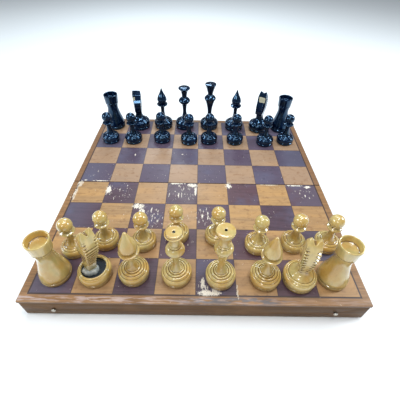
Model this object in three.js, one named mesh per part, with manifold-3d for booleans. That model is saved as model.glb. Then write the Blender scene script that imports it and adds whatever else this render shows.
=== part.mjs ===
// Folding box chessboard with its thirty-two turned and carved men, set up for play.
// Millimetres, +Z up. X runs along the ranks, from the a-file to the h-file, and Y from White to Black.
// The origin is on the table, under the middle of the opened board.

import * as THREE from 'three';
import { mergeVertices } from 'three/addons/utils/BufferGeometryUtils.js';
import Module from 'manifold-3d';

const wasm = await Module();
wasm.setup();

// ---- driving dimensions ----

const FILES = 8;
const SQUARE = 45; // side of one square
const BORDER = 10; // plain margin round the squares
const HALF_HEIGHT = 30; // one half of the box, from its rim to the playing surface
const PANEL_THICKNESS = 4;
const RAIL_THICKNESS = 9;
const RAIL_SETBACK = 0.8; // how far the outer rails stand back under the panel's edge
const GLUE_GAP = 0.3; // between pieces that touch
const FOLD_GAP = 0.6; // between the two halves when the board is open
const CLOSED_GAP = 0.4; // between the two rims when the box is shut
const REST_GAP = 0.3; // under a chessman's foot

const HINGE_OFFSET = 110; // from the middle of the board to the middle of a hinge
const HINGE_LENGTH = 32;
const LEAF_WIDTH = 8;
const LEAF_THICKNESS = 0.9;
const LEAF_SINK = 0.05; // how far a leaf lies below the rim that it is let into
const BARREL_RADIUS = 1.6;
const HINGE_PIN_RADIUS = 0.7;
const HINGE_PIN_OVERHANG = 0.6; // past the end of the barrel
const RUNNING_GAP = 0.3; // round the hinge pin, the barrel and between knuckles
const MIDDLE_KNUCKLE = 10.4;
const SCREW_HOLE_RADIUS = 1.1;
const SCREW_HOLES = 3;
const SCREW_HOLE_PITCH = 11;

const LATCH_OFFSET = 155; // from the middle of the board to a hook
const LATCH_RISE = 12; // of a hook's pivot, and of its catch pin, above the rim
const HOOK_THICKNESS = 1.2;
const HOOK_ARM_WIDTH = 4;
const HOOK_EYE_RADIUS = 3.4;
const HOOK_JAW_RADIUS = 4;
const HOOK_STANDOFF = 0.3; // between the hook and the rail
const LATCH_PIN_RADIUS = 1.2; // shank of the catch pin and of the hook's screw
const LATCH_PIN_DEPTH = 6; // driven into the rail
const LATCH_HEAD_RADIUS = 2.6;
const LATCH_HEAD_HEIGHT = 1.2;
const JAW_GAP = 0.4; // round the catch pin in the hook's jaw
const EYE_GAP = 0.3; // round the screw in the hook's eye

const FOOT_RADIUS = { king: 17, queen: 17.3, bishop: 17.3, knight: 18.5, rook: 17.3, pawn: 15.2 };
const MAN_HEIGHT = { king: 87, queen: 80.5, bishop: 76.5, knight: 76.5, rook: 64.5, pawn: 55 };
const FOOT_HEIGHT = 10.5; // straight side of a turned foot
const FOOT_TOP = 16; // where the foot's round shoulder ends
const SHOULDER = 3.4; // how far the shoulder comes in
const CROWN_HOLE_RADIUS = 1; // pin hole in the flat crowns of White's king and queen
const CROWN_HOLE_DEPTH = 4;
const WELL_RADIUS = 13.6; // socket in a knight's foot
const WELL_DEPTH = 7;

const MAN_SIDES = 14; // facets round a turned piece
const PAWN_SIDES = 12;
const SMALL_SIDES = 16; // facets round hinges, pins and hooks
const CURVE_STEPS = 2; // straight lengths along each curve of a turned outline

// ---- worked out from them ----

const BOARD = FILES * SQUARE + 2 * BORDER;
const EDGE = BOARD / 2;
const AXIS_Z = BARREL_RADIUS; // the barrels touch the table
const RIM_Z = AXIS_Z + CLOSED_GAP / 2;
const SURFACE_Z = RIM_Z + HALF_HEIGHT;
const RAIL_TOP = SURFACE_Z - PANEL_THICKNESS - GLUE_GAP;
const RAIL_FACE = EDGE - RAIL_SETBACK; // outer face of the outer rails
const LATCH_Z = RIM_Z + LATCH_RISE;
const HOOK_REACH = 2 * (LATCH_Z - AXIS_Z); // from the pivot to the catch pin when shut
const FAR = BOARD; // longer than anything that it cuts

// ---- materials ----

const wood = (color, roughness) => new THREE.MeshStandardMaterial({ color, roughness, metalness: 0 });
const WHITE_WOOD = wood(0xb99a4e, 0.35);
const BLACK_LACQUER = wood(0x14141a, 0.12);
const BOARD_FACE = wood(0x7d6258, 0.4);
const RAIL_WOOD = wood(0x6b4528, 0.5);
const STEEL = new THREE.MeshStandardMaterial({ color: 0xb8b4a8, roughness: 0.35, metalness: 1 });

// ---- solids ----

// The closed solid that a three.js geometry bounds.
function solid(geometry) {
  const bare = new THREE.BufferGeometry();
  bare.setAttribute('position', geometry.getAttribute('position'));
  if (geometry.index) bare.setIndex(geometry.index);
  const merged = mergeVertices(bare, 1e-4);
  const corners = merged.index.array;
  const triangles = [];
  for (let i = 0; i < corners.length; i += 3) {
    const [a, b, c] = [corners[i], corners[i + 1], corners[i + 2]];
    if (a !== b && b !== c && c !== a) triangles.push(a, b, c);
  }
  return new wasm.Manifold(
    new wasm.Mesh({
      numProp: 3,
      vertProperties: new Float32Array(merged.getAttribute('position').array),
      triVerts: new Uint32Array(triangles),
    }),
  );
}

// The three.js geometry of a closed solid.
function surface(body) {
  const mesh = body.getMesh();
  const geometry = new THREE.BufferGeometry();
  geometry.setAttribute('position', new THREE.BufferAttribute(new Float32Array(mesh.vertProperties), 3));
  geometry.setIndex(new THREE.BufferAttribute(new Uint32Array(mesh.triVerts), 1));
  geometry.computeVertexNormals();
  return geometry;
}

// A box from its lowest to its highest corner.
function box(low, high) {
  const size = high.map((value, i) => value - low[i]);
  return new THREE.BoxGeometry(...size).translate(...low.map((value, i) => value + size[i] / 2));
}

// A round bar along X, Y or Z, from one place on that axis to another.
function bar(axis, radius, from, to, sides = SMALL_SIDES) {
  const geometry = new THREE.CylinderGeometry(radius, radius, to - from, sides);
  geometry.translate(0, (from + to) / 2, 0);
  if (axis === 'x') geometry.rotateZ(-Math.PI / 2);
  if (axis === 'z') geometry.rotateX(Math.PI / 2);
  return geometry;
}

// A turned solid about Z; the outline starts and ends on the axis.
function turned(path, sides) {
  return new THREE.LatheGeometry(path.getPoints(CURVE_STEPS), sides).rotateX(Math.PI / 2);
}

const part = new THREE.Group();

function add(name, geometry, material, parent = part) {
  const mesh = new THREE.Mesh(geometry, material);
  mesh.name = name;
  parent.add(mesh);
  return mesh;
}

// ---- the board ----

// A half is described as it lies at the front and turned half round for the rear.
const halves = { front: new THREE.Group(), rear: new THREE.Group() };
halves.rear.rotation.z = Math.PI;
part.add(halves.front, halves.rear);

function buildPanel(half) {
  const low = [-EDGE, -EDGE, SURFACE_Z - PANEL_THICKNESS];
  add(`${half}_panel`, box(low, [EDGE, -FOLD_GAP / 2, SURFACE_Z]), BOARD_FACE, halves[half]);
}

// The long rail under the outer edge, bored for the pins of both latches.
function buildOuterRail(half) {
  const inner = -RAIL_FACE + RAIL_THICKNESS;
  let rail = solid(box([-RAIL_FACE, -RAIL_FACE, RIM_Z], [RAIL_FACE, inner, RAIL_TOP]));
  for (const side of [-1, 1]) {
    const bore = bar('y', LATCH_PIN_RADIUS + GLUE_GAP, -FAR, -RAIL_FACE + LATCH_PIN_DEPTH + GLUE_GAP, 12);
    rail = rail.subtract(solid(bore.translate(side * LATCH_OFFSET, 0, LATCH_Z)));
  }
  add(`${half}_outer_rail`, surface(rail), RAIL_WOOD, halves[half]);
}

// The long rail at the fold, cut out below for the two hinges.
function buildFoldRail(half) {
  const face = -FOLD_GAP / 2;
  let rail = solid(box([-RAIL_FACE, face - RAIL_THICKNESS, RIM_Z], [RAIL_FACE, face, RAIL_TOP]));
  const barrelClear = BARREL_RADIUS + RUNNING_GAP;
  const leafTop = RIM_Z + LEAF_SINK + LEAF_THICKNESS + GLUE_GAP;
  for (const side of [-1, 1]) {
    const middle = side * HINGE_OFFSET;
    const notch = HINGE_LENGTH / 2 + HINGE_PIN_OVERHANG + RUNNING_GAP;
    const leaf = HINGE_LENGTH / 2 + GLUE_GAP;
    const forBarrel = box([middle - notch, -barrelClear, -FAR], [middle + notch, FAR, AXIS_Z + barrelClear]);
    const forLeaf = box([middle - leaf, -LEAF_WIDTH - GLUE_GAP, -FAR], [middle + leaf, FAR, leafTop]);
    rail = rail.subtract(solid(forBarrel)).subtract(solid(forLeaf));
  }
  add(`${half}_fold_rail`, surface(rail), RAIL_WOOD, halves[half]);
}

// The two short rails, between the long ones. Left and right are as White sees the open board.
function buildEndRails(half) {
  const from = -RAIL_FACE + RAIL_THICKNESS + GLUE_GAP;
  const to = -FOLD_GAP / 2 - RAIL_THICKNESS - GLUE_GAP;
  for (const side of [-1, 1]) {
    const inner = side * (RAIL_FACE - RAIL_THICKNESS);
    const outer = side * RAIL_FACE;
    const low = [Math.min(inner, outer), from, RIM_Z];
    const name = side * (half === 'front' ? 1 : -1) < 0 ? 'left' : 'right';
    add(`${half}_${name}_rail`, box(low, [Math.max(inner, outer), to, RAIL_TOP]), RAIL_WOOD, halves[half]);
  }
}

// ---- butt hinges ----

// Stretches of the barrel along X, as [from, to], that each leaf carries.
const KNUCKLES = {
  rear: [[-MIDDLE_KNUCKLE / 2, MIDDLE_KNUCKLE / 2]],
  front: [
    [-HINGE_LENGTH / 2, -MIDDLE_KNUCKLE / 2 - RUNNING_GAP],
    [MIDDLE_KNUCKLE / 2 + RUNNING_GAP, HINGE_LENGTH / 2],
  ],
};

// A leaf let into the rim towards -Y, with its knuckles round the axis; the other leaf's are cut clear.
function leafSolid(own, other) {
  const low = RIM_Z + LEAF_SINK - AXIS_Z;
  let leaf = solid(box([-HINGE_LENGTH / 2, -LEAF_WIDTH, low], [HINGE_LENGTH / 2, 0, low + LEAF_THICKNESS]));
  leaf = leaf.subtract(solid(box([-FAR, -FOLD_GAP / 2, -FAR], [FAR, FAR, FAR])));
  for (const [from, to] of other) {
    const room = bar('x', BARREL_RADIUS + RUNNING_GAP, from - RUNNING_GAP, to + RUNNING_GAP);
    leaf = leaf.subtract(solid(room));
  }
  for (const [from, to] of own) leaf = leaf.add(solid(bar('x', BARREL_RADIUS, from, to)));
  leaf = leaf.subtract(solid(bar('x', HINGE_PIN_RADIUS + RUNNING_GAP, -FAR, FAR)));
  for (let i = 0; i < SCREW_HOLES; i += 1) {
    const along = (i - (SCREW_HOLES - 1) / 2) * SCREW_HOLE_PITCH;
    const hole = bar('z', SCREW_HOLE_RADIUS, -FAR, FAR, 10);
    leaf = leaf.subtract(solid(hole.translate(along, -(LEAF_WIDTH + BARREL_RADIUS) / 2, 0)));
  }
  return leaf;
}

function buildHinges() {
  for (const [side, name] of [[-1, 'left'], [1, 'right']]) {
    const middle = side * HINGE_OFFSET;
    for (const half of ['front', 'rear']) {
      const other = half === 'front' ? 'rear' : 'front';
      const leaf = surface(leafSolid(KNUCKLES[half], KNUCKLES[other]));
      const placed = add(`${name}_hinge_${half}_leaf`, leaf, STEEL);
      placed.rotation.z = half === 'rear' ? Math.PI : 0;
      placed.position.set(middle, 0, AXIS_Z);
    }
    const pin = HINGE_LENGTH / 2 + HINGE_PIN_OVERHANG;
    const rod = add(`${name}_hinge_pin`, bar('x', HINGE_PIN_RADIUS, -pin, pin), STEEL);
    rod.position.set(middle, 0, AXIS_Z);
  }
}

// ---- hook latches ----

// A headed pin driven into a rail that faces +Y at y = 0; its shank and head stand out beyond it.
function headedPin() {
  const path = new THREE.Path();
  const under = HOOK_STANDOFF + HOOK_THICKNESS + EYE_GAP;
  path.moveTo(0, -LATCH_PIN_DEPTH);
  path.lineTo(LATCH_PIN_RADIUS, -LATCH_PIN_DEPTH);
  path.lineTo(LATCH_PIN_RADIUS, under);
  path.lineTo(LATCH_HEAD_RADIUS, under);
  path.quadraticCurveTo(LATCH_HEAD_RADIUS, under + LATCH_HEAD_HEIGHT, 0, under + LATCH_HEAD_HEIGHT);
  return new THREE.LatheGeometry(path.getPoints(CURVE_STEPS), SMALL_SIDES);
}

// A flat hook lying along +X from its eye at the origin, its jaw open downwards, its back at y = 0.
function hookSolid() {
  const arm = HOOK_ARM_WIDTH / 2;
  const jaw = LATCH_PIN_RADIUS + JAW_GAP;
  const inJaw = (geometry) => solid(geometry.translate(HOOK_REACH, 0, 0));
  let hook = solid(box([0, 0, -arm], [HOOK_REACH, HOOK_THICKNESS, arm]));
  hook = hook.add(solid(bar('y', HOOK_EYE_RADIUS, 0, HOOK_THICKNESS)));
  hook = hook.add(inJaw(bar('y', HOOK_JAW_RADIUS, 0, HOOK_THICKNESS)));
  hook = hook.subtract(inJaw(bar('y', jaw, -1, HOOK_THICKNESS + 1)));
  hook = hook.subtract(inJaw(box([-jaw, -1, -FAR], [jaw, HOOK_THICKNESS + 1, 0])));
  return hook.subtract(solid(bar('y', LATCH_PIN_RADIUS + EYE_GAP, -1, HOOK_THICKNESS + 1)));
}

// Each hook turns on a screw in the rear rail, its jaw towards the middle of the board.
function buildLatches() {
  for (const [side, name] of [[-1, 'left'], [1, 'right']]) {
    const hook = add(`${name}_hook`, surface(hookSolid()), STEEL);
    hook.position.set(side * LATCH_OFFSET, RAIL_FACE + HOOK_STANDOFF, LATCH_Z);
    if (side > 0) {
      hook.rotation.y = Math.PI;
      hook.geometry.rotateX(Math.PI).translate(0, HOOK_THICKNESS, 0);
    }
    const screw = add(`${name}_hook_screw`, headedPin(), STEEL);
    screw.position.set(side * LATCH_OFFSET, RAIL_FACE, LATCH_Z);
    const pin = add(`${name}_catch_pin`, headedPin(), STEEL);
    pin.position.set(side * LATCH_OFFSET, -RAIL_FACE, LATCH_Z);
    pin.rotation.z = Math.PI;
  }
}

// ---- the men ----

// Every turned man but the rook starts with a straight foot and a round shoulder.
function footPath(foot) {
  const path = new THREE.Path();
  path.moveTo(0, 0);
  path.lineTo(foot, 0);
  path.lineTo(foot, FOOT_HEIGHT);
  path.quadraticCurveTo(foot, FOOT_TOP, foot - SHOULDER, FOOT_TOP);
  return path;
}

function king() {
  const [foot, height] = [FOOT_RADIUS.king, MAN_HEIGHT.king];
  const [stem, bead, waist, crown] = [3.8, 10.6, 5.4, 10.1];
  const path = footPath(foot);
  path.quadraticCurveTo(stem + 1.4, FOOT_TOP + 2, stem, 33);
  path.lineTo(stem + 0.8, height - 36);
  path.quadraticCurveTo(bead, height - 34, bead, height - 27);
  path.quadraticCurveTo(bead, height - 22, waist, height - 19.5);
  path.quadraticCurveTo(waist, height - 9, crown, height - 3);
  path.lineTo(crown, height);
  path.lineTo(0, height);
  return turned(path, MAN_SIDES);
}

function queen() {
  const [foot, height] = [FOOT_RADIUS.queen, MAN_HEIGHT.queen];
  const [stem, bead, waist, crown] = [3.3, 10.8, 4.8, 10.9];
  const path = footPath(foot);
  path.quadraticCurveTo(stem + 1.4, FOOT_TOP + 2, stem, 33);
  path.lineTo(stem + 0.6, height - 36);
  path.quadraticCurveTo(bead, height - 34, bead, height - 27.5);
  path.quadraticCurveTo(bead, height - 21, waist, height - 18);
  path.quadraticCurveTo(waist, height - 7, crown, height - 4.5);
  path.lineTo(crown, height - 1.5);
  path.lineTo(crown - 2, height);
  path.lineTo(0, height);
  return turned(path, MAN_SIDES);
}

function bishop() {
  const [foot, height] = [FOOT_RADIUS.bishop, MAN_HEIGHT.bishop];
  const [stem, collar, neck, head, tip] = [3.2, 11.1, 5, 9.9, 1.2];
  const path = footPath(foot);
  path.quadraticCurveTo(stem + 1.4, FOOT_TOP + 2, stem, 31);
  path.lineTo(stem + 0.4, height - 36);
  path.quadraticCurveTo(collar, height - 34, collar, height - 29);
  path.lineTo(neck, height - 26.5);
  path.quadraticCurveTo(head + 1.9, height - 22, head - 2.2, height - 13.5);
  path.lineTo(tip + 1, height - 3);
  path.lineTo(0, height);
  return turned(path, MAN_SIDES);
}

function pawn() {
  const [foot, height] = [FOOT_RADIUS.pawn, MAN_HEIGHT.pawn];
  const [stem, collar, ball] = [3.8, 8.6, 8.3];
  const middle = height - ball;
  const path = footPath(foot);
  path.quadraticCurveTo(stem + 1, FOOT_TOP + 2, stem, 28);
  path.lineTo(collar, height - 18.5);
  path.lineTo(collar - 1, height - 16);
  path.absarc(0, middle, ball, -Math.PI / 4, Math.PI / 2, false);
  return turned(path, PAWN_SIDES);
}

function rook() {
  const [foot, height] = [FOOT_RADIUS.rook, MAN_HEIGHT.rook];
  const [waist, cup, rim, wall, depth] = [9.4, 11.2, 12.5, 2.2, 7];
  const path = new THREE.Path();
  path.moveTo(0, 0);
  path.lineTo(foot, 0);
  path.lineTo(foot, 6);
  path.lineTo(foot - 0.8, 7);
  path.quadraticCurveTo(waist + 1.6, 22, waist, height - 25);
  path.lineTo(cup, height - 15);
  path.lineTo(rim, height);
  path.lineTo(rim - wall, height);
  path.lineTo(cup - wall, height - depth);
  path.lineTo(0, height - depth);
  return turned(path, MAN_SIDES);
}

// A knight's turned foot, with the round socket that its carved head is glued into.
function knightFoot() {
  const path = footPath(FOOT_RADIUS.knight);
  path.lineTo(WELL_RADIUS, FOOT_TOP + 0.6);
  path.lineTo(WELL_RADIUS, FOOT_TOP - WELL_DEPTH);
  path.lineTo(0, FOOT_TOP - WELL_DEPTH);
  return turned(path, MAN_SIDES);
}

// A straight-sided solid from a closed outline of [across, up] points, centred on the third axis.
function slab(outline, thickness) {
  const shape = new THREE.Shape(outline.map(([across, up]) => new THREE.Vector2(across, up)));
  const geometry = new THREE.ExtrudeGeometry(shape, { depth: thickness, bevelEnabled: false });
  return geometry.translate(0, 0, -thickness / 2).rotateX(Math.PI / 2);
}

// A knight's head looking towards +Y: its side view and its front view, cut from one block. A whole head
// has a turned plug that fills the socket; a broken one stands in the socket on the end of its neck.
function knightHead(whole) {
  const top = MAN_HEIGHT.knight;
  const seat = FOOT_TOP - WELL_DEPTH + GLUE_GAP;
  const sideView = [
    [-6, seat], [-7, 30], [-9.2, 44], [-9, 54], [-4.4, top - 7], [1.2, top], [4.2, top - 5],
    [8, 62], [12.6, 57], [15, 50], [13.6, 44], [7.4, 46], [5, 42], [6.6, 34], [5, seat],
  ];
  const frontView = [
    [-5, seat], [-5.6, 32], [-7.6, 46], [-8, 60], [-7, top - 5], [-5, top], [-0.6, top - 6],
    [0.6, top - 6], [5, top], [7, top - 5], [8, 60], [7.6, 46], [5.6, 32], [5, seat],
  ];
  const side = solid(slab(sideView, FAR).rotateZ(Math.PI / 2));
  let head = side.intersect(solid(slab(frontView, FAR)));
  if (whole) {
    const plug = new THREE.Path();
    const radius = WELL_RADIUS * Math.cos(Math.PI / MAN_SIDES) - GLUE_GAP; // clear of the socket's facets
    plug.moveTo(0, seat);
    plug.lineTo(radius, seat);
    plug.lineTo(radius, FOOT_TOP + 1);
    plug.quadraticCurveTo(7.5, FOOT_TOP + 3, 5.6, 30);
    plug.lineTo(0, 30);
    head = head.subtract(solid(box([-FAR, -FAR, -FAR], [FAR, FAR, FOOT_TOP + 6])));
    head = head.add(solid(turned(plug, MAN_SIDES)));
  }
  return surface(head);
}

// The flat crowns of White's king and queen are bored for a lost finial.
function boredCrown(geometry, height) {
  const hole = bar('z', CROWN_HOLE_RADIUS, height - CROWN_HOLE_DEPTH, height + 1, 10);
  return surface(solid(geometry).subtract(solid(hole)));
}

// Each man: file, and how far it stands from the middle of its square, as [right, away from White];
// a knight's last values are the way it looks, in degrees left of Black, and, where its head has broken off
// and been stuck back, the head's own shift as [right, away, up] and its lean to the right in degrees.
const WHITE_MEN = [
  ['rook', 'a', 0, 0], ['knight', 'b', 0, 0, 50, [-6.7, 2, 2.4], 9.5], ['bishop', 'c', -2, 1],
  ['queen', 'd', 1, 0], ['king', 'e', 5, -2], ['bishop', 'f', 10, -2], ['knight', 'g', 3, -3, -12],
  ['rook', 'h', -3, 0],
];
const BLACK_MEN = [
  ['rook', 'a', -2, 5], ['knight', 'b', 0, 5, 190], ['bishop', 'c', 0, 7], ['queen', 'd', -4, 8],
  ['king', 'e', -2, 8], ['bishop', 'f', 1, 6], ['knight', 'g', 3, 3, 150], ['rook', 'h', 0, 5],
];
const WHITE_PAWNS = [[11, -12], [2, 0], [3, -1], [-2, 11], [3, 9], [7, -3], [7, 0], [4, 0]];
const BLACK_PAWNS = [[0, 0], [-4, 0], [2, 4], [6, 0], [-3, 3], [-1, 3], [8, 0], [1, 5]];

const MAKERS = { king, queen, bishop, rook };
const FILE_NAMES = 'abcdefgh';

// The place on the playing surface of a man that stands off the middle of its square by a shift.
function place(file, rank, [right, away]) {
  const x = (file - (FILES - 1) / 2) * SQUARE + right;
  const y = (rank - (FILES + 1) / 2) * SQUARE + away;
  return new THREE.Vector3(x, y, SURFACE_Z + REST_GAP);
}

function buildMen(colour, material, rank, men) {
  for (const [kind, fileName, right, away, looks, headShift, lean = 0] of men) {
    const at = place(FILE_NAMES.indexOf(fileName), rank, [right, away]);
    const paired = men.filter((man) => man[0] === kind).length > 1;
    const name = `${colour}_${kind}${paired ? `_${fileName}` : ''}`;
    if (kind === 'knight') {
      add(`${name}_foot`, knightFoot(), material).position.copy(at);
      const head = add(`${name}_head`, knightHead(!headShift), material);
      head.position.copy(at);
      if (headShift) head.position.add(new THREE.Vector3(...headShift));
      head.rotation.set(0, THREE.MathUtils.degToRad(lean), THREE.MathUtils.degToRad(looks));
    } else {
      let geometry = MAKERS[kind]();
      const crowned = colour === 'white' && (kind === 'king' || kind === 'queen');
      if (crowned) geometry = boredCrown(geometry, MAN_HEIGHT[kind]);
      add(name, geometry, material).position.copy(at);
    }
  }
}

function buildPawns(colour, material, rank, shifts) {
  shifts.forEach((shift, file) => {
    add(`${colour}_pawn_${FILE_NAMES[file]}`, pawn(), material).position.copy(place(file, rank, shift));
  });
}

for (const half of ['front', 'rear']) {
  buildPanel(half);
  buildOuterRail(half);
  buildFoldRail(half);
  buildEndRails(half);
}
buildHinges();
buildLatches();
buildMen('white', WHITE_WOOD, 1, WHITE_MEN);
buildPawns('white', WHITE_WOOD, 2, WHITE_PAWNS);
buildMen('black', BLACK_LACQUER, FILES, BLACK_MEN);
buildPawns('black', BLACK_LACQUER, FILES - 1, BLACK_PAWNS);

export default part;
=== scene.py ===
"""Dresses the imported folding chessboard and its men, laid out as an add-on and run as a script."""

import math

import bpy
import numpy as np
from bpy.props import FloatProperty, FloatVectorProperty, IntProperty, PointerProperty
from mathutils import Matrix, Vector


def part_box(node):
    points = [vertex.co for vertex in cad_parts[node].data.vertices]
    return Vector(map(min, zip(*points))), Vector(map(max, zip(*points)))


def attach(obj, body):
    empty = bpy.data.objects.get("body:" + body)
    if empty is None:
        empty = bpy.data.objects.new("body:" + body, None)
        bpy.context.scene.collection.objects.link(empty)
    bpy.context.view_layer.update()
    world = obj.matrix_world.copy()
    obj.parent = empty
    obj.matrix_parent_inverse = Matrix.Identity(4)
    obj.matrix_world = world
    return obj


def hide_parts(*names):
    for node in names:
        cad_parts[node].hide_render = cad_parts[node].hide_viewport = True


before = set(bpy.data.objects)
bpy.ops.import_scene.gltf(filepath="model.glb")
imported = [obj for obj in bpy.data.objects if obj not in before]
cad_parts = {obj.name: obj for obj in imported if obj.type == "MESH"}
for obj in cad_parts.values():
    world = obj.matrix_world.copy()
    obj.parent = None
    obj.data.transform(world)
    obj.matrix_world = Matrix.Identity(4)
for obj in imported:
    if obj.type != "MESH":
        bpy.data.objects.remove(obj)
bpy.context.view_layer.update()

bl_info = {
    "name": "Folding Chess Set",
    "version": (1, 0),
    "blender": (4, 5, 0),
    "location": "View3D > Sidebar > Chess Set",
    "description": "A folding box chessboard with turned and carved men",
    "category": "Add Mesh",
}

MM = 0.001
FILES = "abcdefgh"


def middle(node):
    """The middle of a node's box at rest, with the height of its lowest point."""
    low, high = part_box(node)
    return Vector(((low[0] + high[0]) / 2, (low[1] + high[1]) / 2, low[2]))


def height_of(node):
    low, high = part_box(node)
    return high[2] - low[2]


def radius_of(node):
    low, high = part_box(node)
    return (high[1] - low[1]) / 2


PANEL_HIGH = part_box("front_panel")[1]
SURFACE = PANEL_HIGH[2]
HALF_BOARD = PANEL_HIGH[0]
SOCKET = 13.6  # radius of the socket in a knight's foot, in millimetres


# ---- sizes and colours that a user would change ----


class BoardSettings(bpy.types.PropertyGroup):
    square: FloatProperty(name="Square", description="Side of one square", default=0.045, unit="LENGTH")
    line: FloatProperty(
        name="Line", description="Half width of the line between squares", default=0.00032, unit="LENGTH"
    )
    edge: FloatProperty(
        name="Worn edge", description="How far the panels' edges are rounded", default=0.0009, unit="LENGTH"
    )
    light_square: FloatVectorProperty(
        name="Light square", description="Varnished wood", subtype="COLOR", default=(0.38, 0.222, 0.100)
    )
    dark_square: FloatVectorProperty(
        name="Dark square", description="Stained wood", subtype="COLOR", default=(0.084, 0.047, 0.066)
    )
    border: FloatVectorProperty(
        name="Border", description="Plain margin", subtype="COLOR", default=(0.30, 0.155, 0.065)
    )
    rail: FloatVectorProperty(
        name="Rail", description="Sides of the box", subtype="COLOR", default=(0.135, 0.066, 0.024)
    )
    bare: FloatVectorProperty(
        name="Bare patch", description="Where the stain has flaked off",
        subtype="COLOR", default=(0.74, 0.66, 0.55)
    )


class MenSettings(bpy.types.PropertyGroup):
    round_steps: IntProperty(name="Steps", description="Facets round a turned man", default=80, min=24)
    ease: FloatProperty(
        name="Eased edge", description="Rounding of turned edges", default=0.0004, unit="LENGTH"
    )
    pale: FloatVectorProperty(
        name="Pale wood", description="Varnished wood of the white men",
        subtype="COLOR", default=(0.61, 0.45, 0.165)
    )
    # Brown of the grooves, where old varnish and painted shade darken them, and of the foot's darker bottom.
    tan: FloatVectorProperty(
        name="Grooves", description="Old varnish in the grooves",
        subtype="COLOR", default=(0.17, 0.085, 0.018)
    )
    lacquer: FloatVectorProperty(
        name="Lacquer", description="Lacquer of the black men",
        subtype="COLOR", default=(0.0008, 0.003, 0.011)
    )
    rubbed: FloatVectorProperty(
        name="Rubbed edge", description="Wood under the lacquer", subtype="COLOR", default=(0.20, 0.20, 0.13)
    )
    glue: FloatVectorProperty(
        name="Glue", description="Lumps of hardened glue", subtype="COLOR", default=(0.34, 0.36, 0.35)
    )


class StageSettings(bpy.types.PropertyGroup):
    focal: FloatProperty(name="Focal length", description="In millimetres, on a 36 mm sensor", default=25.7)
    place: FloatVectorProperty(
        name="Camera", description="From the middle of the playing surface", subtype="TRANSLATION",
        default=(0.0002, -0.3256, 0.2966),
    )
    pitch: FloatProperty(
        name="Pitch", description="Down from level", subtype="ANGLE", default=math.radians(43.3)
    )
    yaw: FloatProperty(name="Yaw", description="To the left", subtype="ANGLE", default=math.radians(-0.69))
    roll: FloatProperty(
        name="Roll", description="About the view", subtype="ANGLE", default=math.radians(1.45)
    )
    floor: FloatVectorProperty(
        name="Floor", description="Plain pale floor", subtype="COLOR", default=(0.90, 0.90, 0.90)
    )


# ---- modelling helpers ----


def deselect():
    bpy.ops.object.select_all(action="DESELECT")


def edit(piece):
    """Opens one piece for editing with nothing else selected."""
    deselect()
    piece.select_set(True)
    bpy.context.view_layer.objects.active = piece
    bpy.ops.object.mode_set(mode="EDIT")
    bpy.ops.mesh.select_mode(type="VERT")
    bpy.ops.mesh.select_all(action="SELECT")


def close():
    bpy.ops.object.mode_set(mode="OBJECT")


def tidy(piece):
    """Merges doubled points and turns every face outwards."""
    edit(piece)
    bpy.ops.mesh.remove_doubles(threshold=1e-6)
    bpy.ops.mesh.normals_make_consistent(inside=False)
    close()


def modify(piece, kind, **settings):
    """Adds a modifier and applies it."""
    deselect()
    piece.select_set(True)
    bpy.context.view_layer.objects.active = piece
    made = piece.modifiers.new(kind.title(), kind)
    for key, value in settings.items():
        setattr(made, key, value)
    bpy.ops.object.modifier_apply(modifier=made.name)


def smooth(piece, degrees=40):
    deselect()
    piece.select_set(True)
    bpy.context.view_layer.objects.active = piece
    bpy.ops.object.shade_smooth_by_angle(angle=math.radians(degrees))


def discard(*pieces):
    for piece in pieces:
        bpy.data.objects.remove(piece, do_unlink=True)


class Outline:
    """Half of a turned piece's outline, in millimetres, from the middle of its foot to that of its top."""

    def __init__(self):
        self.points = [(0.0, 0.0)]

    def to(self, *points):
        self.points += points
        return self

    def bend(self, control, end, steps=9):
        """A curve that sets out towards the control point and comes in from it."""
        start = self.points[-1]
        for i in range(1, steps + 1):
            t = i / steps
            self.points.append(tuple(
                (1 - t) ** 2 * a + 2 * t * (1 - t) * b + t * t * c for a, b, c in zip(start, control, end)
            ))
        return self

    def arc(self, across, up, radius, start, stop, steps=14):
        """Part of a circle; 0 degrees is straight out and 90 is up."""
        for i in range(steps + 1):
            turn = math.radians(start + (stop - start) * i / steps)
            self.points.append((across + radius * math.cos(turn), up + radius * math.sin(turn)))
        return self

    def groove(self, radius, up, depth, width):
        """A fine turned groove in an upright side."""
        return self.to((radius, up - width / 2), (radius - depth, up), (radius, up + width / 2))

    def eased(self, ease):
        """The points, with each corner cut back and rounded a little."""
        done = [self.points[0]]
        for before, at, after in zip(self.points, self.points[1:], self.points[2:]):
            before, at, after = Vector(before), Vector(at), Vector(after)
            back, on = before - at, after - at
            if back.length < 1e-6 or on.length < 1e-6:
                continue
            turned = math.pi - back.angle(on)
            reach = min(ease, back.length * 0.4, on.length * 0.4)
            if turned < math.radians(22):
                done.append(tuple(at))
                continue
            first, last = at + back.normalized() * reach, at + on.normalized() * reach
            done += [tuple(first), tuple((first + last) / 4 + at / 2), tuple(last)]
        done.append(self.points[-1])
        return done


def turn(name, outline, steps=None):
    """Draws an outline from one point, as on a lathe's template, and spins it into a closed solid."""
    men = bpy.context.scene.chess_men
    points = [(r * MM, z * MM) for r, z in outline.eased(men.ease / MM)]
    deselect()
    bpy.ops.mesh.primitive_plane_add(size=MM)
    piece = bpy.context.object
    piece.name = name
    edit(piece)
    bpy.ops.mesh.merge(type="CENTER")
    for (r0, z0), (r1, z1) in zip(points, points[1:]):
        bpy.ops.mesh.extrude_region_move(TRANSFORM_OT_translate={"value": (r1 - r0, 0, z1 - z0)})
    bpy.ops.mesh.select_all(action="SELECT")
    bpy.ops.mesh.spin(steps=steps or men.round_steps, angle=math.tau, center=(0, 0, 0), axis=(0, 0, 1))
    close()
    tidy(piece)
    return piece


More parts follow.
